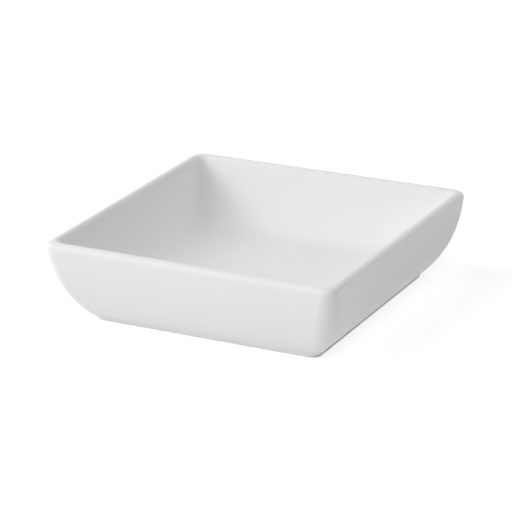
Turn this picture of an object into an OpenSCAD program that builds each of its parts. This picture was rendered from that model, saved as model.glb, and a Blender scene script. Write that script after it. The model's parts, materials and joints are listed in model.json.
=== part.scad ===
// Square condiment dish in white glazed porcelain, standing on a low square foot.
// The origin is the centre of the standing face, +Z is up, and the sides lie along X and Y.

/* [Dish] */
// Width of the dish at its widest, just under the lip
dish_w = 80; // [70:1:110]
// Height from the standing face to the top of the lip
dish_h = 22; // [19:0.5:32]

/* [Lip] */
// Width of the rounded lip, from the outside of the dish inwards
lip_t = 3.3; // [2.4:0.1:4.5]
// Height over which the lip rounds over on the outside
lip_outer_rise = 1.3; // [1:0.1:4]
// Height over which the lip rounds over on the inside
lip_inner_rise = 3; // [1:0.1:4]

/* [Outer wall] */
// Slope of the wall where it leaves the foot, in degrees above level
belly_angle = 41; // [34:1:50]
// How far the wall keeps that slope: longer makes a fuller belly
belly_reach = 8.4; // [6:0.1:10]
// How far down the wall stays upright under the lip
upright_reach = 6.6; // [0.6:0.1:7]
// Corner radius in plan at the lip
corner_r_lip = 3.3; // [3:0.1:8]
// Corner radius in plan half way down the wall
corner_r_belly = 4.7; // [2.5:0.1:10]
// Corner radius in plan where the wall meets the foot
corner_r_base = 1.5; // [1:0.1:6]

/* [Well] */
// Thickness of the floor, glaze included, from the recess under it to the well
floor_t = 4.2; // [3:0.1:5]
// Half width of the flat part of the floor
floor_half_w = 24; // [20:0.5:25]
// How far the floor stays level before it turns up into the wall
floor_reach = 5.5; // [3:0.1:7]
// Slope of the inside wall where it leaves the lip, in degrees above level
inner_angle = 66; // [60:1:76]
// How far the inside wall keeps that slope: longer makes a tighter bend at the floor
inner_reach = 13; // [8:0.5:14.5]
// Corner radius in plan at the inner edge of the lip
well_r_lip = 2.4; // [1:0.1:5]
// Corner radius in plan half way down the well
well_r_side = 6; // [3:0.1:12]
// Corner radius in plan round the flat part of the floor
well_r_floor = 7.5; // [3:0.1:12]

/* [Foot] */
// Width over the sides of the foot
foot_w = 62.8; // [56:0.2:64]
// Width of the standing ring, from the outer side of the foot to the recess
foot_ring_w = 3.6; // [2.6:0.1:6]
// Depth of the recess under the floor
recess_h = 1.8; // [1:0.1:2.4]
// Corner radius in plan of the recess
recess_corner_r = 3; // [1.5:0.1:8]
// Height at which the lines of the foot's side and of the wall would cross
crease_h = 1; // [0.95:0.05:1.6]
// Radius of the hollow crease between the foot and the wall
crease_r = 0.6; // [0.3:0.1:0.7]
// Corner radius in plan of the foot
foot_corner_r = 2.6; // [1:0.1:6]
// Radius of the rounded edges of the standing ring
foot_edge_r = 0.3; // [0.1:0.05:0.35]

/* [Glaze] */
// Thickness of the fired glaze
glaze_t = 0.25; // [0.15:0.05:0.3]
// Height at which the glaze stops above the standing face
bare_h = 0.4; // [0.35:0.05:0.45]

/* [Hidden] */

// Steps along each curve of the profile and round each corner
corner_steps = 9;
wall_steps = 13;
lip_steps = 10;
well_steps = 15;
crease_steps = 3;
edge_steps = 3;
bead_steps = 2;

half_w = dish_w / 2;
foot_half = foot_w / 2;
recess_half = foot_half - foot_ring_w;
floor_z = recess_h + floor_t;

// Crease: a hollow arc that touches the upright side of the foot and the start of the wall
crease_run = crease_r * tan((90 - belly_angle) / 2);
wall_start = [foot_half + crease_run * cos(belly_angle), crease_h + crease_run * sin(belly_angle)];
crease_centre = [foot_half + crease_r, crease_h - crease_run];
wall_end = [half_w, dish_h - lip_outer_rise];

// The lip rounds down on the inside until it has the slope of the inside wall
lip_end_turn = 180 - atan(lip_inner_rise / (lip_t / 2 * tan(inner_angle)));
well_start = lip_point(lip_end_turn, lip_inner_rise);
well_end = [floor_half_w, floor_z];

// The roof of the recess rounds down into the foot's inner side, as far as the glaze's edge bead
recess_round_r = recess_h - bare_h - glaze_t;

function mix(p, q, t) = p * (1 - t) + q * t;

function bezier(p, t) =
    p[0] * pow(1 - t, 3) + 3 * p[1] * pow(1 - t, 2) * t
    + 3 * p[2] * (1 - t) * t * t + p[3] * pow(t, 3);

function bezier_slope(p, t) =
    (p[1] - p[0]) * pow(1 - t, 2) + 2 * (p[2] - p[1]) * (1 - t) * t + (p[3] - p[2]) * t * t;

// A value that runs through three others, at the start, half way and at the end
function through(first, middle, last, t) =
    first * (1 - t) * (1 - 2 * t) + 4 * middle * t * (1 - t) + last * t * (2 * t - 1);

// A place on the profile: half width, height, the outward normal of the surface and corner radius
function place(p, normal, corner_r) = [p[0], p[1], normal[0], normal[1], corner_r];

// The normal lies to the right of the path, which runs out under the dish, up, over the lip and in
function right_of(slope) = [slope[1], -slope[0]] / norm(slope);

function crease_path() = [
    for (i = [0 : crease_steps])
        let (turn = (90 - belly_angle) * i / crease_steps, normal = [cos(turn), -sin(turn)])
            place(
                crease_centre - crease_r * normal,
                normal,
                mix(foot_corner_r, corner_r_base, i / crease_steps)
            )
];

wall_handles = [
    wall_start,
    wall_start + belly_reach * [cos(belly_angle), sin(belly_angle)],
    wall_end - [0, upright_reach],
    wall_end
];

function wall_path() = [
    for (i = [1 : wall_steps])
        let (t = i / wall_steps)
            place(
                bezier(wall_handles, t),
                right_of(bezier_slope(wall_handles, t)),
                through(corner_r_base, corner_r_belly, corner_r_lip, t)
            )
];

// A point on the ellipse of the lip, a turn of 0 outside and 90 at the top
function lip_point(turn, rise) =
    [half_w - lip_t / 2 + lip_t / 2 * cos(turn), dish_h - rise + rise * sin(turn)];

// The lip is two parts of ellipses that meet at the top
function lip_path() = [
    for (i = [1 : lip_steps])
        let (
            t = i / lip_steps,
            turn = t < 0.5 ? mix(0, 90, 2 * t) : mix(90, lip_end_turn, 2 * t - 1),
            rise = turn < 90 ? lip_outer_rise : lip_inner_rise
        )
            place(
                lip_point(turn, rise),
                right_of([-lip_t / 2 * sin(turn), rise * cos(turn)]),
                mix(corner_r_lip, well_r_lip, t)
            )
];

well_handles = [
    well_start,
    well_start - inner_reach * [cos(inner_angle), sin(inner_angle)],
    well_end + [floor_reach, 0],
    well_end
];

function well_path() = [
    for (i = [1 : well_steps])
        let (t = i / well_steps)
            place(
                bezier(well_handles, t),
                right_of(bezier_slope(well_handles, t)),
                through(well_r_lip, well_r_side, well_r_floor, t)
            )
];

// Surface of the coat, from the top of its edge bead up the foot, over the lip and into the well
function coat_path() = concat(
    [place([foot_half, bare_h + glaze_t], [1, 0], foot_corner_r)],
    crease_path(),
    wall_path(),
    lip_path(),
    well_path()
);

// Surface of the glaze under the floor, from the flat roof of the recess down the foot's inner side
function underside_path() = [
    for (i = [0 : crease_steps])
        let (turn = 90 * i / crease_steps, normal = [-sin(turn), -cos(turn)])
            place(
                [recess_half - recess_round_r, recess_h - recess_round_r] - recess_round_r * normal,
                normal,
                recess_corner_r - recess_round_r * (1 - sin(turn))
            )
];

// The clay lies one glaze thickness behind the surface, round the same corner centres
function behind(p) = [p[0] - glaze_t * p[2], p[1] - glaze_t * p[3], p[2], p[3], p[4] - glaze_t * p[2]];

function clay_under_coat() = concat(
    [behind(place([foot_half, bare_h], [1, 0], foot_corner_r))],
    [for (p = coat_path()) behind(p)]
);

function clay_under_patch() = concat(
    [for (p = underside_path()) behind(p)],
    [behind(place([recess_half, bare_h], [-1, 0], recess_corner_r))]
);

// Bare standing ring: its two rounded edges with the flat standing face between them
function standing_ring() =
    let (
        outer = foot_half - glaze_t,
        inner = recess_half + glaze_t,
        outer_corner_r = foot_corner_r - glaze_t,
        inner_corner_r = recess_corner_r + glaze_t
    ) concat(
        [for (i = [0 : edge_steps])
            let (turn = 90 * i / edge_steps, normal = [-cos(turn), -sin(turn)])
                place(
                    [inner + foot_edge_r, foot_edge_r] + foot_edge_r * normal,
                    normal,
                    inner_corner_r + foot_edge_r * (1 - cos(turn))
                )],
        [for (i = [0 : edge_steps])
            let (turn = 90 * i / edge_steps, normal = [sin(turn), -cos(turn)])
                place(
                    [outer - foot_edge_r, foot_edge_r] + foot_edge_r * normal,
                    normal,
                    outer_corner_r - foot_edge_r * (1 - sin(turn))
                )]
    );

// Rounded bead in which a glaze ends: from the clay at bare_h out to the full thickness
function bead(at, side, corner_r) = [
    for (i = [1 : bead_steps])
        let (turn = 90 * i / (bead_steps + 1), out = glaze_t * (1 - sin(turn)))
            place(
                [at - side * out, bare_h + glaze_t * (1 - cos(turn))],
                [side, 0],
                corner_r - side * out
            )
];

// Square with rounded corners at a place on the profile, counterclockwise seen from above
function ring(p) =
    let (half = p[0], corner_r = p[4], centre = half - corner_r)
        [for (quarter = [0 : 3])
            for (i = [0 : corner_steps])
                let (turn = 90 * (quarter + i / corner_steps), middle = 90 * quarter + 45)
                    [
                        centre * sign(cos(middle)) + corner_r * cos(turn),
                        centre * sign(sin(middle)) + corner_r * sin(turn),
                        p[1]
                    ]];

// Solid through a row of rings, closed flat over the first ring and the last
module loft(path) {
    around = 4 * (corner_steps + 1);
    count = len(path);
    points = [for (p = path) each ring(p)];
    sides = [
        for (i = [0 : count - 2])
            for (j = [0 : around - 1])
                let (
                    near = i * around,
                    far = near + around,
                    next = (j + 1) % around
                ) each [
                    [near + j, far + j, far + next],
                    [near + j, far + next, near + next]
                ]
    ];
    first_cap = [for (j = [0 : around - 1]) j];
    last_cap = [for (j = [0 : around - 1]) count * around - 1 - j];
    polyhedron(points, concat([first_cap], sides, [last_cap]), convexity = 6);
}

function reversed(list) = [for (i = [len(list) - 1 : -1 : 0]) list[i]];

// Fired clay: floor, walls, lip and the foot with its bare standing ring
module porcelain_body() {
    color([0.90, 0.89, 0.87])
        loft(concat(clay_under_patch(), standing_ring(), clay_under_coat()));
}

// Glaze over the outside, the lip and the well, in one closed skin
module glaze_coat() {
    color([0.97, 0.97, 0.97])
        loft(concat(reversed(clay_under_coat()), bead(foot_half, 1, foot_corner_r), coat_path()));
}

// Glaze inside the foot ring, under the floor
module underside_glaze() {
    color([0.97, 0.97, 0.97])
        loft(concat(
            underside_path(),
            reversed(bead(recess_half, -1, recess_corner_r)),
            reversed(clay_under_patch())
        ));
}

porcelain_body();
glaze_coat();
underside_glaze();
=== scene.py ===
import json
import math
from typing import NamedTuple

import bmesh
import bpy
from bpy.props import FloatProperty, FloatVectorProperty, IntProperty, PointerProperty
from bpy.types import Operator, Panel, PropertyGroup
from mathutils import Matrix, Vector


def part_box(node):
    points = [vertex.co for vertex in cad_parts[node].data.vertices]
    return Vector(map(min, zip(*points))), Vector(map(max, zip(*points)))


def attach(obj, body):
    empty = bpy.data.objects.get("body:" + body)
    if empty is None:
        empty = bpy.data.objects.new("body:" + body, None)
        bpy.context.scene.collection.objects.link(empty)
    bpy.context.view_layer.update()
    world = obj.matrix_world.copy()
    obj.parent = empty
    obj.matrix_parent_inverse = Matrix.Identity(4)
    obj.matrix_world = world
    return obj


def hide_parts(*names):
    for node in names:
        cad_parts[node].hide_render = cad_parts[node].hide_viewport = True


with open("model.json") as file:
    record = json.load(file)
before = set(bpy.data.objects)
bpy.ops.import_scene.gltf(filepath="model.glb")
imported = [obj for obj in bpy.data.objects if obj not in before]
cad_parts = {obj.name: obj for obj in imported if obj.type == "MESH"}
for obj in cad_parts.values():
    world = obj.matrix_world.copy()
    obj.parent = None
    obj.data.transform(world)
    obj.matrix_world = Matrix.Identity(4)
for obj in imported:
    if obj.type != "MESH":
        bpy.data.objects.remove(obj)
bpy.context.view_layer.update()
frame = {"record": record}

bl_info = {
    "name": "Square Condiment Dish",
    "version": (1, 0, 0),
    "blender": (4, 5, 0),
    "location": "3D View > Sidebar > Dish",
    "description": "A small square dish in white glazed porcelain, on a low square foot",
    "category": "Add Mesh",
}

MM = 0.001

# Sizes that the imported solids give
COAT_LOW, COAT_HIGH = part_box("glaze_coat")
_, CLAY_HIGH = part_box("porcelain_body")
_, PATCH_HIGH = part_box("underside_glaze")
GLAZE_T = COAT_HIGH.x - CLAY_HIGH.x
RECESS_HALF = PATCH_HIGH.x - GLAZE_T
RING_MIDDLE = frame["record"]["mounts"][0]["pos_m"][0]

# An edge rounded to this radius has a hollowness of 0, a flat 0.5, and a crease of this radius 1
HOLLOW_RADIUS = 3 * MM

# Hollowness over which the glaze goes from thin, with a painted highlight over edges, to its usual
# thickness, and from there to pooling, with painted shade in hollows
THIN_HIGHLIGHT_RANGE = (0.05, 0.45)
POOLED_SHADE_RANGE = (0.52, 0.95)

GLAZE_IOR = 1.5
GLAZE_BUMP_H = 0.05 * MM
GLAZE_BUMP_STRENGTH = 0.6

# Bare clay: the height of its waves over which it gets worn, and the grain over which it gets rougher
WORN_RANGE = (0.42, 0.62)
MOST_WORN = 0.55
GRAIN_RANGE = (0.3, 0.7)
CLAY_ROUGHNESS_RANGE = (0.55, 0.85)

SPECK_LIGHTNESS = 0.45
CLAY_IOR = 1.45
CLAY_BUMP_H = 0.03 * MM
CLAY_BUMP_STRENGTH = 0.8

# Edges that turn by more than this are shaded sharp
SHARP_ANGLE = math.radians(50)

# Places on the profile that lie closer than this count as this far apart
LEAST_STEP = 0.001 * MM

# Width of the floor, in widths of the dish
FLOOR_WIDTHS = 60

SENSOR_WIDTH_MM = 36


# Settings


class DishShape(PropertyGroup):
    """Sizes of the dish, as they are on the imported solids"""

    width: FloatProperty(
        name="Width",
        description="Width of the dish at its widest, just under the lip",
        default=COAT_HIGH.x - COAT_LOW.x,
        subtype="DISTANCE",
        unit="LENGTH",
    )
    height: FloatProperty(
        name="Height",
        description="Height from the standing face to the top of the lip",
        default=COAT_HIGH.z,
        subtype="DISTANCE",
        unit="LENGTH",
    )
    lip_t: FloatProperty(
        name="Lip width",
        description="Width of the rounded lip, from the outside of the dish inwards",
        default=3.3 * MM,
        subtype="DISTANCE",
        unit="LENGTH",
    )
    lip_outer_rise: FloatProperty(
        name="Lip rise outside",
        description="Height over which the lip rounds over on the outside",
        default=1.3 * MM,
        subtype="DISTANCE",
        unit="LENGTH",
    )
    lip_inner_rise: FloatProperty(
        name="Lip rise inside",
        description="Height over which the lip rounds over on the inside",
        default=3 * MM,
        subtype="DISTANCE",
        unit="LENGTH",
    )
    belly_angle: FloatProperty(
        name="Belly angle",
        description="Slope of the wall where it leaves the foot, above level",
        default=math.radians(41),
        subtype="ANGLE",
    )
    belly_reach: FloatProperty(
        name="Belly reach",
        description="How far along that slope the wall's curve is drawn before it bends up",
        default=8.4 * MM,
        subtype="DISTANCE",
        unit="LENGTH",
    )
    upright_reach: FloatProperty(
        name="Upright reach",
        description="How far down from the lip the wall's curve is drawn upright",
        default=6.6 * MM,
        subtype="DISTANCE",
        unit="LENGTH",
    )
    corner_r_lip: FloatProperty(
        name="Corner radius at the lip",
        description="Corner radius in plan at the lip",
        default=3.3 * MM,
        subtype="DISTANCE",
        unit="LENGTH",
    )
    corner_r_belly: FloatProperty(
        name="Corner radius at the belly",
        description="Corner radius in plan half way down the wall",
        default=4.7 * MM,
        subtype="DISTANCE",
        unit="LENGTH",
    )
    corner_r_base: FloatProperty(
        name="Corner radius at the base",
        description="Corner radius in plan where the wall meets the foot",
        default=1.5 * MM,
        subtype="DISTANCE",
        unit="LENGTH",
    )
    floor_t: FloatProperty(
        name="Floor thickness",
        description="Thickness of the floor, glaze included",
        default=4.2 * MM,
        subtype="DISTANCE",
        unit="LENGTH",
    )
    floor_half_w: FloatProperty(
        name="Floor half width",
        description="Half width of the flat part of the floor",
        default=24 * MM,
        subtype="DISTANCE",
        unit="LENGTH",
    )
    floor_reach: FloatProperty(
        name="Floor reach",
        description="How far the curve is drawn level before it turns up into the wall",
        default=5.5 * MM,
        subtype="DISTANCE",
        unit="LENGTH",
    )
    inner_angle: FloatProperty(
        name="Inner wall slope",
        description="Slope of the inside wall where it leaves the lip, above level",
        default=math.radians(66),
        subtype="ANGLE",
    )
    inner_reach: FloatProperty(
        name="Inner wall reach",
        description="How far down that slope the inside wall's curve is drawn",
        default=13 * MM,
        subtype="DISTANCE",
        unit="LENGTH",
    )
    well_r_lip: FloatProperty(
        name="Well corner at the lip",
        description="Corner radius in plan at the inner edge of the lip",
        default=2.4 * MM,
        subtype="DISTANCE",
        unit="LENGTH",
    )
    well_r_side: FloatProperty(
        name="Well corner half way",
        description="Corner radius in plan half way down the well",
        default=6 * MM,
        subtype="DISTANCE",
        unit="LENGTH",
    )
    well_r_floor: FloatProperty(
        name="Well corner at the floor",
        description="Corner radius in plan round the flat part of the floor",
        default=7.5 * MM,
        subtype="DISTANCE",
        unit="LENGTH",
    )
    foot_half: FloatProperty(
        name="Foot half width",
        description="Half width over the sides of the foot",
        default=2 * RING_MIDDLE - RECESS_HALF,
        subtype="DISTANCE",
        unit="LENGTH",
    )
    recess_half: FloatProperty(
        name="Recess half width",
        description="Half width of the recess inside the foot",
        default=RECESS_HALF,
        subtype="DISTANCE",
        unit="LENGTH",
    )
    recess_h: FloatProperty(
        name="Recess depth",
        description="Depth of the recess under the floor",
        default=PATCH_HIGH.z - GLAZE_T,
        subtype="DISTANCE",
        unit="LENGTH",
    )
    recess_corner_r: FloatProperty(
        name="Recess corner radius",
        description="Corner radius in plan of the recess",
        default=3 * MM,
        subtype="DISTANCE",
        unit="LENGTH",
    )
    crease_h: FloatProperty(
        name="Crease height",
        description="Height at which the lines of the foot's side and of the wall would cross",
        default=1 * MM,
        subtype="DISTANCE",
        unit="LENGTH",
    )
    crease_r: FloatProperty(
        name="Crease radius",
        description="Radius of the hollow crease between the foot and the wall",
        default=0.6 * MM,
        subtype="DISTANCE",
        unit="LENGTH",
    )
    foot_corner_r: FloatProperty(
        name="Foot corner radius",
        description="Corner radius in plan of the foot",
        default=2.6 * MM,
        subtype="DISTANCE",
        unit="LENGTH",
    )
    foot_edge_r: FloatProperty(
        name="Foot edge radius",
        description="Radius of the rounded edges of the standing ring",
        default=0.3 * MM,
        subtype="DISTANCE",
        unit="LENGTH",
    )
    glaze_t: FloatProperty(
        name="Glaze thickness",
        description="Thickness of the fired glaze",
        default=GLAZE_T,
        subtype="DISTANCE",
        unit="LENGTH",
    )
    bare_h: FloatProperty(
        name="Bare height",
        description="Height at which the glaze stops above the standing face",
        default=COAT_LOW.z,
        subtype="DISTANCE",
        unit="LENGTH",
    )
    edge_wander: FloatProperty(
        name="Glaze edge wander",
        description="How far the edge of the glaze wanders up and down round the foot",
        default=0.07 * MM,
        subtype="DISTANCE",
        unit="LENGTH",
    )


class DishFinish(PropertyGroup):
    """Colours and surface of the glaze and of the bare clay"""

    glaze_color: FloatVectorProperty(
        name="Glaze",
        description="Colour of the glaze at its usual thickness",
        default=(0.840, 0.840, 0.840),
        subtype="COLOR",
        size=3,
        min=0,
        max=1,
    )
    # Painted shade: hollows, creases and the well's corners are darkened, beside the real pooling of the
    # glaze there
    pooled_shade_color: FloatVectorProperty(
        name="Pooled glaze with painted shade",
        description="Colour where the glaze lies thickest, in the hollows",
        default=(0.830, 0.833, 0.833),
        subtype="COLOR",
        size=3,
        min=0,
        max=1,
    )
    # Painted highlight: edges and the crest of the lip are lightened, beside the real thinning of the glaze
    # there
    thin_highlight_color: FloatVectorProperty(
        name="Thin glaze with painted highlight",
        description="Colour where the glaze has drawn thin over an edge",
        default=(0.848, 0.848, 0.846),
        subtype="COLOR",
        size=3,
        min=0,
        max=1,
    )
    clay_color: FloatVectorProperty(
        name="Bare clay",
        description="Colour of the unglazed standing ring",
        default=(0.83, 0.825, 0.815),
        subtype="COLOR",
        size=3,
        min=0,
        max=1,
    )
    clay_worn_color: FloatVectorProperty(
        name="Worn clay",
        description="Colour of the standing ring where it has rubbed on tables",
        default=(0.76, 0.75, 0.735),
        subtype="COLOR",
        size=3,
        min=0,
        max=1,
    )
    glaze_roughness: FloatProperty(
        name="Glaze roughness",
        description="Roughness of the glaze's own surface",
        default=0.40,
        subtype="FACTOR",
        min=0,
        max=1,
    )


class DishMesh(PropertyGroup):
    """Fineness of the meshes"""

    corner_steps: IntProperty(
        name="Corner",
        description="Steps round each corner",
        default=24,
        min=6,
    )
    side_steps: IntProperty(
        name="Side",
        description="Steps along each straight side",
        default=22,
        min=2,
    )
    wall_steps: IntProperty(
        name="Outer wall",
        description="Steps up the outer wall",
        default=40,
        min=6,
    )
    lip_steps: IntProperty(
        name="Lip",
        description="Steps over each half of the lip",
        default=12,
        min=3,
    )
    well_steps: IntProperty(
        name="Well",
        description="Steps down the well",
        default=44,
        min=6,
    )
    small_steps: IntProperty(
        name="Small rounds",
        description="Steps round the crease and the foot's edges",
        default=8,
        min=2,
    )


class StudioSetup(PropertyGroup):
    """Camera and light of the studio"""

    camera_azimuth: FloatProperty(
        name="Camera azimuth",
        description="Turn of the camera round the dish, from straight in front towards the right",
        default=math.radians(27.77),
        subtype="ANGLE",
    )
    camera_elevation: FloatProperty(
        name="Camera elevation",
        description="Height of the camera above level",
        default=math.radians(20.45),
        subtype="ANGLE",
    )
    camera_roll: FloatProperty(
        name="Camera roll",
        description="Turn of the camera about its own line of sight",
        default=math.radians(1.169),
        subtype="ANGLE",
    )
    camera_distance: FloatProperty(
        name="Camera distance",
        description="Distance from the camera to the middle of the dish",
        default=638.24 * MM,
        subtype="DISTANCE",
        unit="LENGTH",
    )
    camera_right: FloatProperty(
        name="Dish to the right",
        description="How far right of the line of sight the middle of the dish lies, before the roll",
        default=1.189 * MM,
        subtype="DISTANCE",
        unit="LENGTH",
    )
    camera_up: FloatProperty(
        name="Dish above",
        description="How far above the line of sight the middle of the dish lies, before the roll",
        default=-0.086 * MM,
        subtype="DISTANCE",
        unit="LENGTH",
    )
    camera_lens: FloatProperty(
        name="Focal length",
        description="Focal length in millimetres on a 36 mm wide picture",
        default=176.47,
    )
    lamp_level: FloatProperty(
        name="Lamp level",
        description="Level of all the softboxes together, where 1 is their usual level",
        default=1,
        min=0,
    )
    lamp_size: FloatProperty(
        name="Lamp size",
        description="Width of each softbox",
        default=0.4,
        subtype="DISTANCE",
        unit="LENGTH",
    )
    lamp_distance: FloatProperty(
        name="Lamp distance",
        description="Distance from each softbox to the dish",
        default=1.2,
        subtype="DISTANCE",
        unit="LENGTH",
    )
    floor_color: FloatVectorProperty(
        name="Floor",
        description="Colour of the sheet that the dish stands on",
        default=(0.9, 0.9, 0.9),
        subtype="COLOR",
        size=3,
        min=0,
        max=1,
    )
    floor_glow: FloatProperty(
        name="Floor glow",
        description="Light that comes up through the sheet, as a share of white",
        default=0.042,
        min=0,
    )
    seen_floor_color: FloatVectorProperty(
        name="Floor as seen",
        description="Colour of the sheet to the camera and in reflections: darker makes the shadow fainter",
        default=(0.35, 0.35, 0.35),
        subtype="COLOR",
        size=3,
        min=0,
        max=1,
    )
    seen_floor_glow: FloatProperty(
        name="Floor glow as seen",
        description="Glow of the sheet to the camera and in reflections: its open parts come up to white",
        default=0.79,
        min=0,
        max=1,
    )


class Softbox(NamedTuple):
    """A softbox, its direction in degrees, and the light that it gives a card there, where 1 is white"""

    name: str
    azimuth: float
    elevation: float
    level: float


SOFTBOXES = (
    Softbox("Low front softbox", -30, 10, 0.193),
    Softbox("Front softbox", -30, 32, 0.143),
    Softbox("Right front softbox", 30, 32, 0.132),
    Softbox("Left softbox", -60, 32, 0.279),
    Softbox("High left softbox", -75, 58, 0.222),
    Softbox("High right softbox", 60, 58, 0.124),
    Softbox("Back softbox", 150, 32, 0.152),
    Softbox("High back softbox", 150, 58, 0.155),
)


# Profile of the dish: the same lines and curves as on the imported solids, in finer steps


class Place(NamedTuple):
    """A point of the profile, the outward direction of the surface and the plan corner radius there"""

    out: float
    up: float
    normal_out: float
    normal_up: float
    corner_r: float


def mix(first, last, t):
    return first * (1 - t) + last * t


def through(first, middle, last, t):
    """A value that runs through three others, at the start, half way and at the end"""
    return first * (1 - t) * (1 - 2 * t) + 4 * middle * t * (1 - t) + last * t * (2 * t - 1)


def shares(steps, start=0):
    """Shares of a stretch, from its start or from the step after it to its end"""
    return [i / steps for i in range(start, steps + 1)]


def bezier(handles, t):
    """A point on the curve that four handles draw"""
    a, b, c, d = handles
    return a * (1 - t) ** 3 + 3 * b * (1 - t) ** 2 * t + 3 * c * (1 - t) * t * t + d * t**3


def bezier_slope(handles, t):
    """The direction of that curve, at a third of its speed"""
    a, b, c, d = handles
    return (b - a) * (1 - t) ** 2 + 2 * (c - b) * (1 - t) * t + (d - c) * t * t


def right_of(slope):
    """The side on which the surface faces out, as the path runs up the wall, over the lip and in"""
    return Vector((slope.y, -slope.x)).normalized()


def place(point, normal, corner_r):
    return Place(point.x, point.y, normal.x, normal.y, corner_r)


def crease_turn(shape):
    """How far the profile turns in the crease, from the upright side of the foot to the start of the wall"""
    return math.pi / 2 - shape.belly_angle


def crease_run(shape):
    """How far the arc of the crease reaches from the place where the foot's side and the wall would cross"""
    return shape.crease_r * math.tan(crease_turn(shape) / 2)


def crease_path(shape, steps):
    """Hollow arc that joins the foot's side to the start of the wall"""
    centre = Vector((shape.foot_half + shape.crease_r, shape.crease_h - crease_run(shape)))
    path = []
    for t in shares(steps):
        turn = crease_turn(shape) * t
        normal = Vector((math.cos(turn), -math.sin(turn)))
        corner_r = mix(shape.foot_corner_r, shape.corner_r_base, t)
        path.append(place(centre - normal * shape.crease_r, normal, corner_r))
    return path


def wall_path(shape, steps):
    """Outer wall, which leaves the crease at its slope and comes upright under the lip"""
    rise = Vector((math.cos(shape.belly_angle), math.sin(shape.belly_angle)))
    start = Vector((shape.foot_half, shape.crease_h)) + rise * crease_run(shape)
    end = Vector((shape.width / 2, shape.height - shape.lip_outer_rise))
    upright = Vector((0, shape.upright_reach))
    handles = (start, start + rise * shape.belly_reach, end - upright, end)
    path = []
    for t in shares(steps, 1):
        corner_r = through(shape.corner_r_base, shape.corner_r_belly, shape.corner_r_lip, t)
        path.append(place(bezier(handles, t), right_of(bezier_slope(handles, t)), corner_r))
    return path


def lip_point(shape, turn, rise):
    """A point on the ellipse of the lip, a turn of 0 outside and a quarter turn at the top"""
    half_t = shape.lip_t / 2
    return Vector((
        shape.width / 2 - half_t + half_t * math.cos(turn),
        shape.height - rise + rise * math.sin(turn),
    ))


def lip_end_turn(shape):
    """The turn at which the lip has rounded down to the slope of the inside wall"""
    return math.pi - math.atan(shape.lip_inner_rise / (shape.lip_t / 2 * math.tan(shape.inner_angle)))


def lip_path(shape, half_steps):
    """Two parts of ellipses that meet at the top of the lip"""
    path = []
    for t in shares(2 * half_steps, 1):
        outside = t < 0.5
        rise = shape.lip_outer_rise if outside else shape.lip_inner_rise
        turn = mix(0, math.pi / 2, 2 * t) if outside else mix(math.pi / 2, lip_end_turn(shape), 2 * t - 1)
        slope = Vector((-shape.lip_t / 2 * math.sin(turn), rise * math.cos(turn)))
        corner_r = mix(shape.corner_r_lip, shape.well_r_lip, t)
        path.append(place(lip_point(shape, turn, rise), right_of(slope), corner_r))
    return path


def well_path(shape, steps):
    """Inside wall, from the end of the lip down its slope and round into the level floor"""
    start = lip_point(shape, lip_end_turn(shape), shape.lip_inner_rise)
    down = Vector((math.cos(shape.inner_angle), math.sin(shape.inner_angle))) * shape.inner_reach
    end = Vector((shape.floor_half_w, shape.recess_h + shape.floor_t))
    handles = (start, start - down, end + Vector((shape.floor_reach, 0)), end)
    path = []
    for t in shares(steps, 1):
        corner_r = through(shape.well_r_lip, shape.well_r_side, shape.well_r_floor, t)
        path.append(place(bezier(handles, t), right_of(bezier_slope(handles, t)), corner_r))
    return path


def coat_path(shape, mesh):
    """Surface of the coat, from the top of its edge bead up the foot, over the lip and into the well"""
    bead_top = Vector((shape.foot_half, shape.bare_h + shape.glaze_t))
    return [
        place(bead_top, Vector((1, 0)), shape.foot_corner_r),
        *crease_path(shape, mesh.small_steps),
        *wall_path(shape, mesh.wall_steps),
        *lip_path(shape, mesh.lip_steps),
        *well_path(shape, mesh.well_steps),
    ]


def underside_path(shape, mesh):
    """Surface of the glaze under the floor, from the flat roof of the recess down the foot's inner side"""
    round_r = shape.recess_h - shape.bare_h - shape.glaze_t
    centre = Vector((shape.recess_half - round_r, shape.recess_h - round_r))
    path = []
    for t in shares(mesh.small_steps):
        turn = math.pi / 2 * t
        normal = Vector((-math.sin(turn), -math.cos(turn)))
        corner_r = shape.recess_corner_r - round_r * (1 - math.sin(turn))
        path.append(place(centre - normal * round_r, normal, corner_r))
    return path


def behind(p, depth):
    """The same place one depth of glaze further in, round the same corner centres"""
    return Place(
        p.out - depth * p.normal_out,
        p.up - depth * p.normal_up,
        p.normal_out,
        p.normal_up,
        p.corner_r - depth * p.normal_out,
    )


def clay_under_coat(shape, mesh):
    foot_side = Place(shape.foot_half, shape.bare_h, 1, 0, shape.foot_corner_r)
    return [behind(p, shape.glaze_t) for p in (foot_side, *coat_path(shape, mesh))]


def clay_under_patch(shape, mesh):
    foot_side = Place(shape.recess_half, shape.bare_h, -1, 0, shape.recess_corner_r)
    return [behind(p, shape.glaze_t) for p in (*underside_path(shape, mesh), foot_side)]


def standing_ring(shape, steps):
    """Bare standing ring: its two rounded edges with the flat standing face between them"""
    edge_r = shape.foot_edge_r
    inner = Vector((shape.recess_half + shape.glaze_t + edge_r, edge_r))
    outer = Vector((shape.foot_half - shape.glaze_t - edge_r, edge_r))
    inner_corner_r = shape.recess_corner_r + shape.glaze_t
    outer_corner_r = shape.foot_corner_r - shape.glaze_t
    inner_edge = []
    outer_edge = []
    for t in shares(steps):
        turn = math.pi / 2 * t
        inwards = Vector((-math.cos(turn), -math.sin(turn)))
        outwards = Vector((math.sin(turn), -math.cos(turn)))
        inner_r = inner_corner_r + edge_r * (1 - math.cos(turn))
        outer_r = outer_corner_r - edge_r * (1 - math.sin(turn))
        inner_edge.append(place(inner + inwards * edge_r, inwards, inner_r))
        outer_edge.append(place(outer + outwards * edge_r, outwards, outer_r))
    return inner_edge + outer_edge


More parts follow.
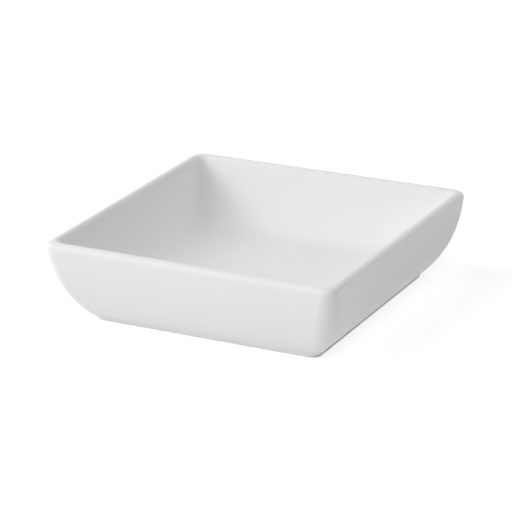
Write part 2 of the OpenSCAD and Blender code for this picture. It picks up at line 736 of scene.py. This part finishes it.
def bead(shape, at, side, corner_r, steps):
    """Rounded edge in which a glaze ends, from the clay at the bare height out to its full thickness"""
    path = []
    for t in shares(steps, 1)[:-1]:
        turn = math.pi / 2 * t
        drawn_in = shape.glaze_t * (1 - math.sin(turn))
        up = shape.bare_h + shape.glaze_t * (1 - math.cos(turn))
        normal = Vector((side * math.sin(turn), -math.cos(turn)))
        path.append(place(Vector((at - side * drawn_in, up)), normal, corner_r - side * drawn_in))
    return path


# Meshes


# The sides of X and Y on which each corner lies, in the order of the quarter turns
CORNER_SIDES = ((1, 1), (-1, 1), (-1, -1), (1, -1))


def ring_points(p, mesh):
    """Square with rounded corners, level, at a place on the profile"""
    centre = p.out - p.corner_r
    points = []
    for quarter, (side_x, side_y) in enumerate(CORNER_SIDES):
        corner = Vector((side_x * centre, side_y * centre, p.up))
        for t in shares(mesh.corner_steps):
            turn = math.pi / 2 * (quarter + t)
            points.append(corner + Vector((math.cos(turn), math.sin(turn), 0)) * p.corner_r)
        side_start = points[-1]
        side = Vector((-math.sin(turn), math.cos(turn), 0)) * 2 * centre
        for t in shares(mesh.side_steps, 1)[:-1]:
            eased = (1 - math.cos(math.pi * t)) / 2
            points.append(side_start + side * eased)
    return points


def hollowness(path, radius):
    """How hollow the profile is at each place: 0 on a sharp edge, 0.5 on a flat, 1 in a crease"""
    values = []
    for i, p in enumerate(path):
        before, after = path[max(i - 1, 0)], path[min(i + 1, len(path) - 1)]
        step = Vector((after.out - before.out, after.up - before.up))
        turned = Vector((after.normal_out - before.normal_out, after.normal_up - before.normal_up))
        bend = turned.dot(step) / max(step.length_squared, LEAST_STEP**2)
        values.append(min(1, max(0, (1 - radius * bend) / 2)))
    return values


def loft(name, path, mesh, lift=None):
    """Closed solid through a row of rings, flat over the first ring and the last"""
    bm = bmesh.new()
    rings = []
    for p in path:
        points = ring_points(p, mesh)
        if lift:
            points = [point + Vector((0, 0, lift(p, i / len(points)))) for i, point in enumerate(points)]
        rings.append([bm.verts.new(point) for point in points])
    for near, far in zip(rings, rings[1:]):
        for j in range(len(near)):
            k = (j + 1) % len(near)
            bm.faces.new((near[j], near[k], far[k], far[j]))
    bm.faces.new(list(reversed(rings[0])))
    bm.faces.new(rings[-1])
    if any(len(edge.link_faces) != 2 for edge in bm.edges):
        bm.free()
        raise RuntimeError(f"{name} isn't a closed solid")
    bmesh.ops.recalc_face_normals(bm, faces=bm.faces)
    data = bpy.data.meshes.new(name)
    bm.to_mesh(data)
    bm.free()
    data.shade_smooth()
    data.set_sharp_from_angle(angle=SHARP_ANGLE)
    made = bpy.data.objects.new(name, data)
    bpy.context.scene.collection.objects.link(made)
    return made


def mark_hollows(made, path):
    """Keeps on each point how hollow the surface is there, which tells how thick the glaze lies and where
    its colour carries painted shade in hollows and a painted highlight over edges
    """
    around = len(made.data.vertices) // len(path)
    attribute = made.data.attributes.new("hollow", "FLOAT", "POINT")
    values = [value for value in hollowness(path, HOLLOW_RADIUS) for _ in range(around)]
    attribute.data.foreach_set("value", values)


class EdgeWave(NamedTuple):
    """A wave in the edge of the glaze: how often it comes round the foot, its share and where it starts"""

    count: int
    share: float
    start: float


EDGE_WAVES = (EdgeWave(5, 1, 0.6), EdgeWave(13, 0.7, 2.1), EdgeWave(29, 0.5, 4.0))


def edge_lift(shape):
    """How far the edge of a glaze is lifted at a place and a share of the way round, fading out above it"""
    fade_h = shape.bare_h + shape.glaze_t
    all_shares = sum(wave.share for wave in EDGE_WAVES)

    def lift(p, round_share):
        above = min(1, max(0, (p.up - fade_h) / shape.glaze_t))
        turn = 2 * math.pi * round_share
        wander = sum(wave.share * math.sin(wave.count * turn + wave.start) for wave in EDGE_WAVES)
        return (1 - above) * shape.edge_wander * wander / all_shares

    return lift


# Materials


def new_group(name, inputs, outputs):
    group = bpy.data.node_groups.new(name, "ShaderNodeTree")
    for label, default in inputs.items():
        socket = group.interface.new_socket(label, in_out="INPUT", socket_type="NodeSocketFloat")
        socket.default_value = default
    for label in outputs:
        group.interface.new_socket(label, in_out="OUTPUT", socket_type="NodeSocketFloat")
    return group, group.nodes.new("NodeGroupInput"), group.nodes.new("NodeGroupOutput")


def math_node(tree, operation, first, second, clamp=False):
    """A Math node whose inputs are sockets or plain numbers"""
    node = tree.nodes.new("ShaderNodeMath")
    node.operation = operation
    node.use_clamp = clamp
    for socket, value in zip(node.inputs, (first, second)):
        if isinstance(value, bpy.types.NodeSocket):
            tree.links.new(value, socket)
        else:
            socket.default_value = value
    return node.outputs[0]


def noise_node(tree, coordinates, size, detail):
    """Noise whose blotches are about one size across, from 0 to 1"""
    noise = tree.nodes.new("ShaderNodeTexNoise")
    noise.inputs["Detail"].default_value = detail
    tree.links.new(coordinates, noise.inputs["Vector"])
    tree.links.new(math_node(tree, "DIVIDE", 1, size), noise.inputs["Scale"])
    return noise.outputs["Fac"]


def fired_surface_group():
    """Unevenness of a fired surface: broad waves, a fine grain, and the height of both together"""
    group, given, result = new_group(
        "Fired surface",
        {"Wave size": 9 * MM, "Wave height": 1, "Grain size": 0.8 * MM, "Grain height": 0.1},
        ["Wave", "Grain", "Height"],
    )
    where = group.nodes.new("ShaderNodeTexCoord").outputs["Object"]
    wave = noise_node(group, where, given.outputs["Wave size"], 1)
    grain = noise_node(group, where, given.outputs["Grain size"], 2)
    wave_height = math_node(group, "MULTIPLY", wave, given.outputs["Wave height"])
    grain_height = math_node(group, "MULTIPLY", grain, given.outputs["Grain height"])
    group.links.new(wave, result.inputs["Wave"])
    group.links.new(grain, result.inputs["Grain"])
    group.links.new(math_node(group, "ADD", wave_height, grain_height), result.inputs["Height"])
    return group


def specks_group():
    """Sparse round specks, 1 in the middle of each and 0 outside"""
    group, given, result = new_group("Specks", {"Spacing": 12 * MM, "Size": 0.3 * MM}, ["Speck"])
    where = group.nodes.new("ShaderNodeTexCoord").outputs["Object"]
    cells = group.nodes.new("ShaderNodeTexVoronoi")
    group.links.new(where, cells.inputs["Vector"])
    group.links.new(math_node(group, "DIVIDE", 1, given.outputs["Spacing"]), cells.inputs["Scale"])
    distance = math_node(group, "MULTIPLY", cells.outputs["Distance"], given.outputs["Spacing"])
    share = math_node(group, "DIVIDE", distance, given.outputs["Size"])
    group.links.new(math_node(group, "SUBTRACT", 1, share, clamp=True), result.inputs["Speck"])
    return group


def shared_group(name):
    """The node group of that name, built the first time that a material asks for it"""
    makers = {"Fired surface": fired_surface_group, "Specks": specks_group}
    return bpy.data.node_groups.get(name) or makers[name]()


def group_node(tree, name, **values):
    """A shared group with the values that this material gives it"""
    node = tree.nodes.new("ShaderNodeGroup")
    node.node_tree = shared_group(name)
    for label, value in values.items():
        node.inputs[label.replace("_", " ")].default_value = value
    return node


def mix_color(tree, factor, first, second):
    """A mix of two colours, each a socket or three plain numbers"""
    node = tree.nodes.new("ShaderNodeMix")
    node.data_type = "RGBA"
    tree.links.new(factor, node.inputs["Factor"])
    for socket, value in ((node.inputs["A"], first), (node.inputs["B"], second)):
        if isinstance(value, bpy.types.NodeSocket):
            tree.links.new(value, socket)
        else:
            socket.default_value = (*value, 1)
    return node.outputs["Result"]


def map_range(tree, value, between, to):
    """A soft step from the first end of a range to the second, as the value crosses another range"""
    node = tree.nodes.new("ShaderNodeMapRange")
    node.interpolation_type = "SMOOTHSTEP"
    tree.links.new(value, node.inputs["Value"])
    node.inputs["From Min"].default_value, node.inputs["From Max"].default_value = between
    node.inputs["To Min"].default_value, node.inputs["To Max"].default_value = to
    return node.outputs["Result"]


def bump_into(tree, shader, height, distance, strength):
    bump = tree.nodes.new("ShaderNodeBump")
    bump.inputs["Distance"].default_value = distance
    bump.inputs["Strength"].default_value = strength
    tree.links.new(height, bump.inputs["Height"])
    tree.links.new(bump.outputs["Normal"], shader.inputs["Normal"])


def new_material(name):
    material = bpy.data.materials.new(name)
    material.use_nodes = True
    tree = material.node_tree
    return material, tree, tree.nodes["Principled BSDF"]


def white_glaze():
    """Glaze fired over white clay: thinner and lighter over edges with a painted highlight, thicker and
    darker in hollows with painted shade, faintly uneven
    """
    material = bpy.data.materials.get("White glaze")
    if material:
        return material
    finish = bpy.context.scene.dish_finish
    material, tree, shader = new_material("White glaze")
    surface = group_node(
        tree,
        "Fired surface",
        Wave_size=11 * MM,
        Wave_height=1,
        Grain_size=1.1 * MM,
        Grain_height=0.05,
    )
    hollow = tree.nodes.new("ShaderNodeAttribute")
    hollow.attribute_name = "hollow"
    # Painted highlight over edges and painted shade in hollows, beside the real thinning and pooling of the
    # glaze
    thin = map_range(tree, hollow.outputs["Fac"], between=THIN_HIGHLIGHT_RANGE, to=(1, 0))
    pooled_shade = map_range(tree, hollow.outputs["Fac"], between=POOLED_SHADE_RANGE, to=(0, 1))
    color = mix_color(tree, thin, tuple(finish.glaze_color), tuple(finish.thin_highlight_color))
    color = mix_color(tree, pooled_shade, color, tuple(finish.pooled_shade_color))
    tree.links.new(color, shader.inputs["Base Color"])
    shader.inputs["Roughness"].default_value = finish.glaze_roughness
    shader.inputs["IOR"].default_value = GLAZE_IOR
    bump_into(tree, shader, surface.outputs["Height"], GLAZE_BUMP_H, GLAZE_BUMP_STRENGTH)
    return material


def bare_porcelain():
    """Unglazed fired clay: matt, finely grained, and rubbed greyer on the standing face"""
    finish = bpy.context.scene.dish_finish
    material, tree, shader = new_material("Bare porcelain")
    surface = group_node(
        tree,
        "Fired surface",
        Wave_size=5 * MM,
        Wave_height=0.6,
        Grain_size=0.22 * MM,
        Grain_height=0.5,
    )
    specks = group_node(tree, "Specks", Spacing=3.5 * MM, Size=0.16 * MM)
    speck_color = tuple(SPECK_LIGHTNESS * channel for channel in finish.clay_worn_color)
    worn = map_range(tree, surface.outputs["Wave"], between=WORN_RANGE, to=(0, MOST_WORN))
    color = mix_color(tree, worn, tuple(finish.clay_color), tuple(finish.clay_worn_color))
    color = mix_color(tree, specks.outputs["Speck"], color, speck_color)
    tree.links.new(color, shader.inputs["Base Color"])
    roughness = map_range(tree, surface.outputs["Grain"], between=GRAIN_RANGE, to=CLAY_ROUGHNESS_RANGE)
    tree.links.new(roughness, shader.inputs["Roughness"])
    shader.inputs["IOR"].default_value = CLAY_IOR
    bump_into(tree, shader, surface.outputs["Height"], CLAY_BUMP_H, CLAY_BUMP_STRENGTH)
    return material


def seen_directly(tree):
    """1 for rays from the camera, a mirror or glass, which see white surroundings, and 0 for light"""
    path = tree.nodes.new("ShaderNodeLightPath")
    seen = math_node(tree, "MAXIMUM", path.outputs["Is Camera Ray"], path.outputs["Is Glossy Ray"])
    return math_node(tree, "MAXIMUM", seen, path.outputs["Is Transmission Ray"])


def pale_floor():
    """White sheet that keeps a soft shadow of the dish and otherwise shows as white"""
    studio = bpy.context.scene.dish_studio
    material, tree, shader = new_material("Pale floor")
    seen = seen_directly(tree)
    color = mix_color(tree, seen, tuple(studio.floor_color), tuple(studio.seen_floor_color))
    tree.links.new(color, shader.inputs["Base Color"])
    glow = map_range(tree, seen, between=(0, 1), to=(studio.floor_glow, studio.seen_floor_glow))
    tree.links.new(glow, shader.inputs["Emission Strength"])
    shader.inputs["Emission Color"].default_value = (1, 1, 1, 1)
    shader.inputs["Roughness"].default_value = 1
    shader.inputs["Specular IOR Level"].default_value = 0
    return material


# Operators


def finish_piece(made, material, node):
    made.data.materials.append(material)
    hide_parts(node)
    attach(made, "root")


class DISH_OT_clay_body(Operator):
    """Make the fired clay body, with its bare standing ring"""

    bl_idname = "dish.clay_body"
    bl_label = "Clay body"

    def execute(self, context):
        shape, mesh = context.scene.dish_shape, context.scene.dish_mesh
        path = [
            *clay_under_patch(shape, mesh),
            *standing_ring(shape, mesh.small_steps),
            *clay_under_coat(shape, mesh),
        ]
        made = loft("fired_clay", path, mesh)
        finish_piece(made, bare_porcelain(), "porcelain_body")
        return {"FINISHED"}


class DISH_OT_glaze_coat(Operator):
    """Make the glaze over the outside, the lip and the well, whose edge wanders a little round the foot"""

    bl_idname = "dish.glaze_coat"
    bl_label = "Glaze coat"

    def execute(self, context):
        shape, mesh = context.scene.dish_shape, context.scene.dish_mesh
        path = [
            *reversed(clay_under_coat(shape, mesh)),
            *bead(shape, shape.foot_half, 1, shape.foot_corner_r, mesh.small_steps),
            *coat_path(shape, mesh),
        ]
        made = loft("glaze_skin", path, mesh, edge_lift(shape))
        mark_hollows(made, path)
        finish_piece(made, white_glaze(), "glaze_coat")
        return {"FINISHED"}


class DISH_OT_underside_glaze(Operator):
    """Make the glaze inside the foot ring, under the floor"""

    bl_idname = "dish.underside_glaze"
    bl_label = "Underside glaze"

    def execute(self, context):
        shape, mesh = context.scene.dish_shape, context.scene.dish_mesh
        path = [
            *underside_path(shape, mesh),
            *reversed(bead(shape, shape.recess_half, -1, shape.recess_corner_r, mesh.small_steps)),
            *reversed(clay_under_patch(shape, mesh)),
        ]
        made = loft("glaze_patch", path, mesh, edge_lift(shape))
        mark_hollows(made, path)
        finish_piece(made, white_glaze(), "underside_glaze")
        return {"FINISHED"}


class DISH_OT_studio(Operator):
    """Make the floor, the soft lights, the surroundings and the camera"""

    bl_idname = "dish.studio"
    bl_label = "Studio"

    def execute(self, context):
        scene = context.scene
        make_floor(scene)
        make_surroundings(scene)
        for softbox in SOFTBOXES:
            make_softbox(scene, softbox)
        make_camera(scene)
        scene.view_settings.view_transform = "Standard"
        return {"FINISHED"}


def direction_to(azimuth, elevation):
    """The way from the dish out to a place round it, where azimuth 0 is in front and 90 is to the right"""
    level = math.cos(elevation)
    return Vector((math.sin(azimuth) * level, -math.cos(azimuth) * level, math.sin(elevation)))


def make_floor(scene):
    half = FLOOR_WIDTHS / 2 * scene.dish_shape.width
    corners = [(-half, -half, 0), (half, -half, 0), (half, half, 0), (-half, half, 0)]
    data = bpy.data.meshes.new("Floor")
    data.from_pydata(corners, [], [(0, 1, 2, 3)])
    data.materials.append(pale_floor())
    floor = bpy.data.objects.new("Floor", data)
    scene.collection.objects.link(floor)


def make_surroundings(scene):
    """White surroundings for the camera and for reflections, which don't light the dish otherwise"""
    world = bpy.data.worlds.new("Surroundings")
    world.use_nodes = True
    tree = world.node_tree
    background = tree.nodes["Background"]
    background.inputs["Color"].default_value = (1, 1, 1, 1)
    tree.links.new(seen_directly(tree), background.inputs["Strength"])
    scene.world = world


def make_softbox(scene, softbox):
    """A square softbox that looks at the dish, of the energy that brings a white card there to its level"""
    studio = scene.dish_studio
    light = bpy.data.lights.new(softbox.name, "AREA")
    light.shape = "SQUARE"
    light.size = studio.lamp_size
    light.energy = softbox.level * studio.lamp_level * (math.pi * studio.lamp_distance) ** 2
    made = bpy.data.objects.new(softbox.name, light)
    made.visible_glossy = False
    away = direction_to(math.radians(softbox.azimuth), math.radians(softbox.elevation))
    made.location = away * studio.lamp_distance
    made.rotation_euler = away.to_track_quat("Z", "Y").to_euler()
    scene.collection.objects.link(made)


def make_camera(scene):
    """The camera of the photograph: it looks past the middle of the dish, turned a little on its own line"""
    studio = scene.dish_studio
    back = direction_to(studio.camera_azimuth, studio.camera_elevation)
    right = Vector((math.cos(studio.camera_azimuth), math.sin(studio.camera_azimuth), 0))
    up = back.cross(right)
    roll = studio.camera_roll
    across = right * math.cos(roll) - up * math.sin(roll)
    upwards = right * math.sin(roll) + up * math.cos(roll)
    middle = Vector((0, 0, scene.dish_shape.height / 2))
    aim = middle - right * studio.camera_right - up * studio.camera_up
    data = bpy.data.cameras.new("Camera")
    data.sensor_width = SENSOR_WIDTH_MM
    data.lens = studio.camera_lens
    camera = bpy.data.objects.new("Camera", data)
    turned = Matrix((across, upwards, back)).transposed()
    camera.matrix_world = Matrix.Translation(aim + back * studio.camera_distance) @ turned.to_4x4()
    scene.collection.objects.link(camera)
    scene.camera = camera


class DISH_PT_sidebar(Panel):
    """Lists the pieces of the dish with their sizes and colours"""

    bl_idname = "DISH_PT_sidebar"
    bl_label = "Square condiment dish"
    bl_space_type = "VIEW_3D"
    bl_region_type = "UI"
    bl_category = "Dish"

    def draw(self, context):
        for operator in OPERATORS:
            self.layout.operator(operator.bl_idname)
        for group, settings in SETTINGS.items():
            box = self.layout.box()
            values = getattr(context.scene, group)
            for name in settings.__annotations__:
                box.prop(values, name)


OPERATORS = (DISH_OT_clay_body, DISH_OT_glaze_coat, DISH_OT_underside_glaze, DISH_OT_studio)
SETTINGS = {
    "dish_shape": DishShape,
    "dish_finish": DishFinish,
    "dish_mesh": DishMesh,
    "dish_studio": StudioSetup,
}


def register():
    for group, settings in SETTINGS.items():
        bpy.utils.register_class(settings)
        setattr(bpy.types.Scene, group, PointerProperty(type=settings))
    for operator in OPERATORS:
        bpy.utils.register_class(operator)
    bpy.utils.register_class(DISH_PT_sidebar)


def unregister():
    bpy.utils.unregister_class(DISH_PT_sidebar)
    for operator in reversed(OPERATORS):
        bpy.utils.unregister_class(operator)
    for group, settings in reversed(SETTINGS.items()):
        delattr(bpy.types.Scene, group)
        bpy.utils.unregister_class(settings)


def main():
    register()
    bpy.ops.dish.clay_body()
    bpy.ops.dish.glaze_coat()
    bpy.ops.dish.underside_glaze()
    bpy.ops.dish.studio()


if __name__ == "__main__":
    main()
